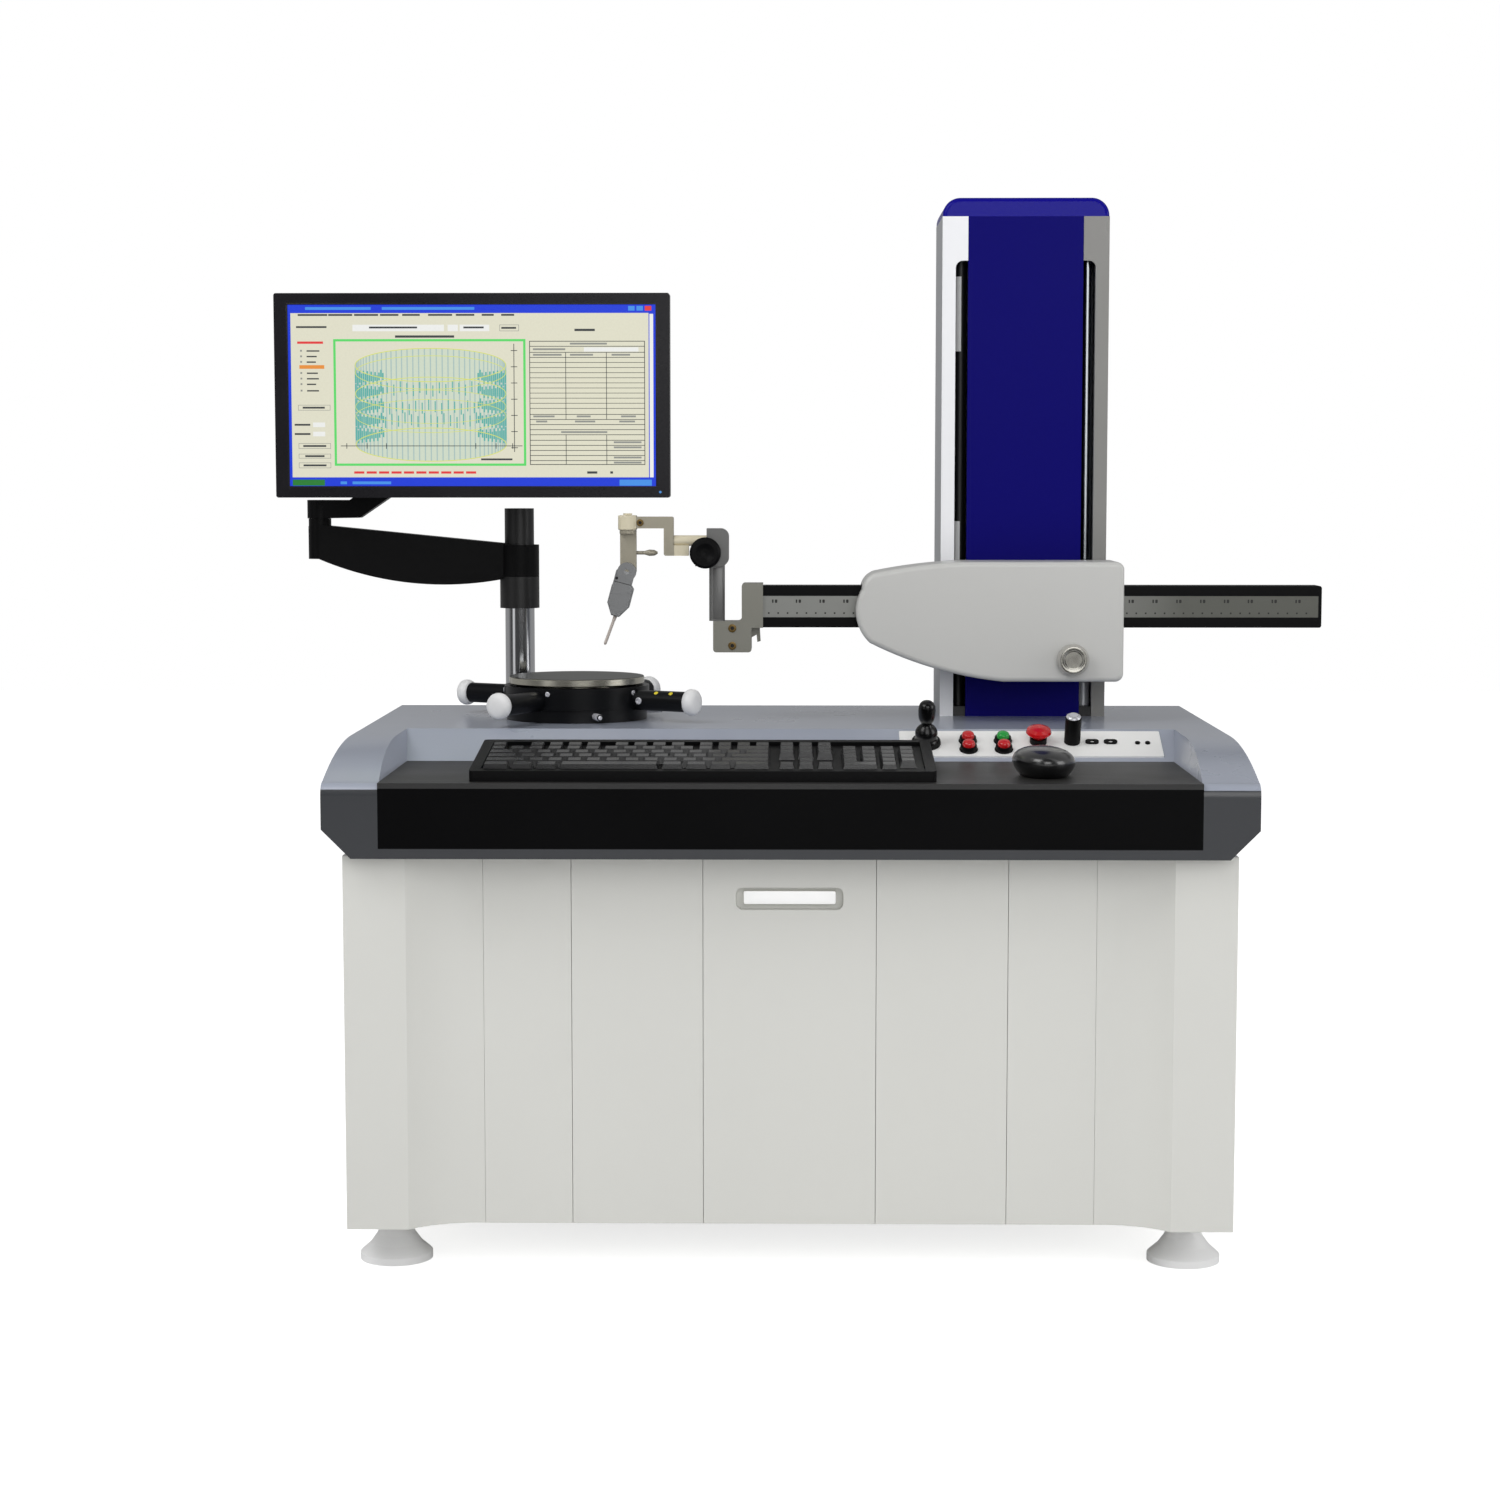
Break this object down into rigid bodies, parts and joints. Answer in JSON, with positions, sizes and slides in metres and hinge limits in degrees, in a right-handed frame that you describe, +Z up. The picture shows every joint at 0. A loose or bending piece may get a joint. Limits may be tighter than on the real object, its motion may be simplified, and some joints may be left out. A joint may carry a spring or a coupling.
{
  "type": "cylindricity tester",
  "caption": "Cylindricity tester: rotary worktable, lifting column with a radial arm and probe, swing-arm monitor, keyboard, mouse and control panel on a cabinet.",
  "frame": {"origin": "on the floor under the middle of the table", "axes": "+X to the operator's right along the table's width, +Y away from the operator, +Z up"},
  "size_m": [1.2938, 0.678, 1.23],
  "materials": {
    "table_paint": "gloss",
    "cabinet_paint": "satin",
    "black_panel": "gloss",
    "shelf_top": "satin",
    "panel_plate": "satin",
    "black_plastic": "satin",
    "black_rubber": "matte",
    "white_plastic": "satin",
    "chrome": "polished",
    "column_casting": "painted",
    "column_trim": "satin",
    "navy_paint": "gloss",
    "carriage_paint": "satin paint",
    "machined_aluminium": "machined",
    "arm_black": "anodised",
    "steel_scale": "engraved",
    "probe_metal": "nickel",
    "sensor_grey": "satin",
    "ground_steel": "ground",
    "drum_black": "anodised",
    "monitor_black": "gloss",
    "screen_glass": "lit",
    "button_red": "gloss",
    "button_green": "gloss",
    "computer_case": "satin"
  },
  "bodies": {
    "frame": {"cabinet_side_panels": "cabinet_paint", "cabinet_back_panel": "cabinet_paint", "cabinet_floor": "cabinet_paint", "cabinet_front_panels": "cabinet_paint", "levelling_feet": "white_plastic", "table_housing": "table_paint", "front_apron": "black_panel", "keyboard_shelf": "shelf_top", "control_panel": "panel_plate", "panel_fittings": "black_plastic", "joystick_boot": "black_rubber", "spindle_housing": "drum_black", "monitor_post": "chrome", "column_core": "column_casting", "column_side_trims": "column_trim", "column_front_cover": "navy_paint", "column_top_cap": "navy_paint", "guide_rails": "chrome", "keyboard_case": "black_plastic", "keyboard_keys": "black_plastic"},
    "drawer": {"drawer": "cabinet_paint", "computer": "computer_case"},
    "spindle": {"rotating_stage": "drum_black"},
    "centering_x": {"centering_slide_x": "machined_aluminium"},
    "centering_y": {"centering_slide_y": "machined_aluminium"},
    "levelling_x": {"levelling_plate": "machined_aluminium"},
    "worktable": {"worktable_disc": "ground_steel"},
    "centering_knob_x": {"centering_knob_x": "white_plastic"},
    "centering_knob_y": {"centering_knob_y": "white_plastic"},
    "levelling_knob_x": {"levelling_knob_x": "white_plastic"},
    "levelling_knob_y": {"levelling_knob_y": "white_plastic"},
    "lower_arm": {"lower_arm": "chrome"},
    "upper_arm": {"upper_arm": "black_plastic"},
    "monitor_head": {"monitor_head": "black_plastic"},
    "monitor": {"monitor_housing": "monitor_black", "monitor_screen": "screen_glass"},
    "lead_screw": {"lead_screw": "ground_steel"},
    "carriage": {"carriage_shell": "carriage_paint", "carriage_block": "machined_aluminium"},
    "arm_lock_knob": {"arm_lock_knob": "black_plastic"},
    "arm": {"arm_beam": "arm_black", "arm_scale": "steel_scale", "arm_end_bracket": "sensor_grey", "probe_link": "sensor_grey"},
    "probe_clamp_knob": {"probe_clamp_knob": "black_plastic"},
    "probe_crank": {"probe_crank": "probe_metal"},
    "sensor_holder": {"sensor_holder": "probe_metal"},
    "sensor": {"sensor_body": "sensor_grey"},
    "stylus": {"stylus": "ground_steel"},
    "space_bar": {"space_bar": "black_plastic"},
    "mouse": {"mouse_shell": "monitor_black"},
    "mouse_wheel": {"mouse_wheel": "black_rubber"},
    "button_upper_left": {"button_upper_left": "button_red"},
    "button_upper_right": {"button_upper_right": "button_green"},
    "button_lower_left": {"button_lower_left": "button_red"},
    "button_lower_right": {"button_lower_right": "button_red"},
    "stop_mushroom": {"stop_mushroom": "button_red"},
    "speed_knob": {"speed_knob": "black_plastic"},
    "joystick_gimbal": {"joystick_gimbal": "black_plastic"},
    "joystick_stick": {"joystick_stick": "black_plastic"}
  },
  "joints": [
    {"name": "column_lift", "type": "slide", "parent": "frame", "child": "carriage", "axis": [0, 0, 1], "range_m": [-0.028, 0.35]},
    {"name": "arm_slide", "type": "slide", "parent": "carriage", "child": "arm", "axis": [1, 0, 0], "range_m": [-0.15, 0.1]},
    {"name": "table_spin", "type": "hinge", "parent": "frame", "child": "spindle", "pos_m": [-0.265, 0.1345, 0.604], "axis": [0, 0, 1], "continuous": true},
    {"name": "probe_turn", "type": "hinge", "parent": "arm", "child": "probe_crank", "pos_m": [-0.11, 0.101, 0.809], "axis": [1, 0, 0], "range_deg": [-90, 90]},
    {"name": "holder_swivel", "type": "hinge", "parent": "probe_crank", "child": "sensor_holder", "pos_m": [-0.199, 0.101, 0.831], "axis": [0, 0, 1], "range_deg": [-45, 45]},
    {"name": "sensor_tilt", "type": "hinge", "parent": "sensor_holder", "child": "sensor", "pos_m": [-0.2, 0.101, 0.771], "axis": [0, 1, 0], "range_deg": [-30, 30]},
    {"name": "stylus_deflect", "type": "hinge", "parent": "sensor", "child": "stylus", "pos_m": [-0.21309, 0.101, 0.72065], "axis": [0, 1, 0], "range_deg": [-3, 3], "stiffness_Nm_per_rad": 0.1},
    {"name": "monitor_swing", "type": "hinge", "parent": "frame", "child": "lower_arm", "pos_m": [-0.352, 0.316, 0.778], "axis": [0, 0, 1], "range_deg": [-20, 60]},
    {"name": "elbow_swing", "type": "hinge", "parent": "lower_arm", "child": "upper_arm", "pos_m": [-0.609, 0.3, 0.845], "axis": [0, 0, 1], "range_deg": [-45, 45]},
    {"name": "monitor_pan", "type": "hinge", "parent": "upper_arm", "child": "monitor_head", "pos_m": [-0.3983, 0.262, 0.988], "axis": [0, 0, 1], "range_deg": [-15, 15]},
    {"name": "monitor_tilt", "type": "hinge", "parent": "monitor_head", "child": "monitor", "pos_m": [-0.3983, 0.2295, 0.988], "axis": [1, 0, 0], "range_deg": [-15, 15]},
    {"name": "drawer_slide", "type": "slide", "parent": "frame", "child": "drawer", "axis": [0, -1, 0], "range_m": [0, 0.3]},
    {"name": "joystick_fore_aft", "type": "hinge", "parent": "frame", "child": "joystick_gimbal", "pos_m": [0.1605, -0.05353, 0.57199], "axis": [1, 0, 0], "range_deg": [-12, 12], "stiffness_Nm_per_rad": 0.3},
    {"name": "joystick_left_right", "type": "hinge", "parent": "joystick_gimbal", "child": "joystick_stick", "pos_m": [0.1605, -0.05353, 0.57199], "axis": [0, 0.9072, 0.4207], "range_deg": [-12, 12], "stiffness_Nm_per_rad": 0.3},
    {"name": "stop_press", "type": "slide", "parent": "frame", "child": "stop_mushroom", "axis": [0, 0.4207, -0.9072], "range_m": [0, 0.005]},
    {"name": "speed_turn", "type": "hinge", "parent": "frame", "child": "speed_knob", "pos_m": [0.3328, -0.0499, 0.57367], "axis": [0, -0.4207, 0.9072], "range_deg": [-150, 150]},
    {"name": "start_press", "type": "slide", "parent": "frame", "child": "button_upper_right", "axis": [0, 0.4207, -0.9072], "range_m": [0, 0.003], "stiffness_N_per_m": 300, "springref_m": -0.001},
    {"name": "button_upper_left_press", "type": "slide", "parent": "frame", "child": "button_upper_left", "axis": [0, 0.4207, -0.9072], "range_m": [0, 0.003], "stiffness_N_per_m": 300, "springref_m": -0.001},
    {"name": "button_lower_left_press", "type": "slide", "parent": "frame", "child": "button_lower_left", "axis": [0, 0.4207, -0.9072], "range_m": [0, 0.003], "stiffness_N_per_m": 300, "springref_m": -0.001},
    {"name": "button_lower_right_press", "type": "slide", "parent": "frame", "child": "button_lower_right", "axis": [0, 0.4207, -0.9072], "range_m": [0, 0.003], "stiffness_N_per_m": 300, "springref_m": -0.001},
    {"name": "arm_lock_turn", "type": "hinge", "parent": "carriage", "child": "arm_lock_knob", "pos_m": [0.3425, 0.05, 0.6665], "axis": [0, 1, 0], "range_deg": [0, 180]},
    {"name": "probe_clamp_turn", "type": "hinge", "parent": "arm", "child": "probe_clamp_knob", "pos_m": [-0.1034, 0.08, 0.7945], "axis": [0, 1, 0], "range_deg": [0, 180]},
    {"name": "centering_knob_x_turn", "type": "hinge", "parent": "spindle", "child": "centering_knob_x", "pos_m": [-0.265, 0.1345, 0.614], "axis": [0.8704, -0.4924, 0], "range_deg": [-725, 725]},
    {"name": "centering_knob_y_turn", "type": "hinge", "parent": "spindle", "child": "centering_knob_y", "pos_m": [-0.265, 0.1345, 0.614], "axis": [0.4924, 0.8704, 0], "range_deg": [-725, 725]},
    {"name": "levelling_knob_x_turn", "type": "hinge", "parent": "spindle", "child": "levelling_knob_x", "pos_m": [-0.265, 0.1345, 0.614], "axis": [-0.8704, 0.4924, 0], "range_deg": [-725, 725]},
    {"name": "levelling_knob_y_turn", "type": "hinge", "parent": "spindle", "child": "levelling_knob_y", "pos_m": [-0.265, 0.1345, 0.614], "axis": [-0.4924, -0.8704, 0], "range_deg": [-725, 725]},
    {"name": "mouse_slide", "type": "slide", "parent": "frame", "child": "mouse", "axis": [1, 0, 0], "range_m": [-0.04, 0.06]},
    {"name": "mouse_wheel_turn", "type": "hinge", "parent": "mouse", "child": "mouse_wheel", "pos_m": [0.283, -0.22, 0.5763], "axis": [1, 0, 0], "continuous": true},
    {"name": "space_bar_press", "type": "slide", "parent": "frame", "child": "space_bar", "axis": [0, 0.1111, -0.9938], "range_m": [0, 0.0035], "stiffness_N_per_m": 300, "springref_m": -0.002},
    {"name": "centering_x_shift", "type": "slide", "parent": "spindle", "child": "centering_x", "axis": [0.8704, -0.4924, 0], "range_m": [-0.002, 0.002]},
    {"name": "centering_y_shift", "type": "slide", "parent": "centering_x", "child": "centering_y", "axis": [0.4924, 0.8704, 0], "range_m": [-0.002, 0.002]},
    {"name": "levelling_x_tilt", "type": "hinge", "parent": "centering_y", "child": "levelling_x", "pos_m": [-0.265, 0.1345, 0.6194], "axis": [0.8704, -0.4924, 0], "range_deg": [-0.5, 0.5]},
    {"name": "levelling_y_tilt", "type": "hinge", "parent": "levelling_x", "child": "worktable", "pos_m": [-0.265, 0.1345, 0.6252], "axis": [0.4924, 0.8704, 0], "range_deg": [-0.5, 0.5]},
    {"name": "lead_screw_turn", "type": "hinge", "parent": "frame", "child": "lead_screw", "pos_m": [0.291, 0.236, 0.9], "axis": [0, 0, 1], "range_deg": [-2890, 25210]}
  ],
  "couplings": [
    {"joint": "centering_knob_x_turn", "follows": "centering_x_shift", "rad_per_m": 6283.2},
    {"joint": "centering_knob_y_turn", "follows": "centering_y_shift", "rad_per_m": 6283.2},
    {"joint": "levelling_knob_x_turn", "follows": "levelling_x_tilt", "ratio": 1440},
    {"joint": "levelling_knob_y_turn", "follows": "levelling_y_tilt", "ratio": 1440},
    {"joint": "lead_screw_turn", "follows": "column_lift", "rad_per_m": 1256.6}
  ]
}
